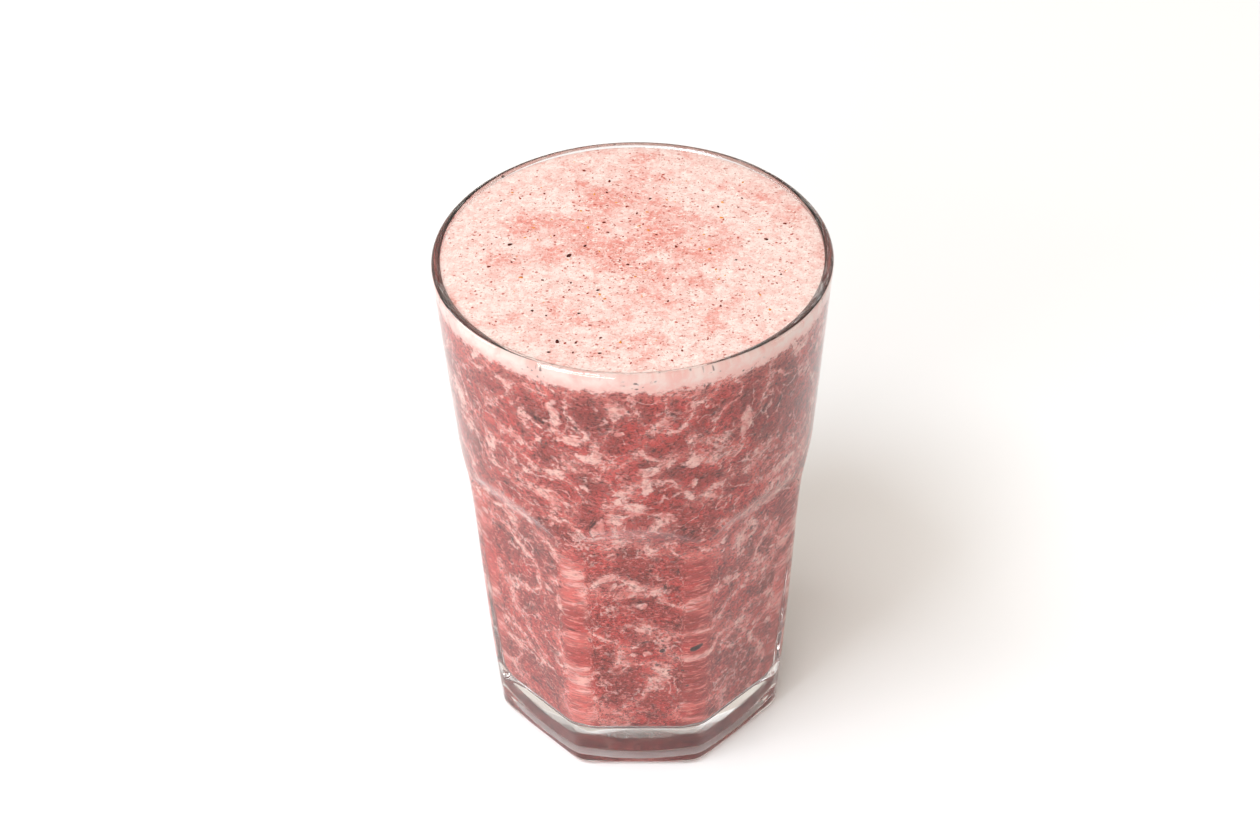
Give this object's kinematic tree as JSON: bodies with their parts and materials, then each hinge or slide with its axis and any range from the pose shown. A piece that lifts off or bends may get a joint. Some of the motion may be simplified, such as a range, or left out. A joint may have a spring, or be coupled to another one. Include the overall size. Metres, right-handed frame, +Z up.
{
  "type": "strawberry smoothie in a faceted glass",
  "caption": "Tall faceted glass tumbler filled to the brim with a marbled strawberry smoothie under a pale pink layer of foam",
  "frame": {"origin": "centre of the ring that the glass stands on", "axes": "+Z up along the glass, with a flat facet facing -Y and another facing +X"},
  "size_m": [0.0884, 0.0884, 0.1303],
  "materials": {
    "clear_glass": "clear pressed glass, smooth and glossy",
    "smoothie": "blended fruit, deep red-pink marbled with pale pink froth",
    "foam": "fine pale pink froth with red mottling and dark seed flecks"
  },
  "bodies": {
    "root": {"glass": "clear_glass", "smoothie": "smoothie", "foam": "foam"}
  },
  "joints": []
}
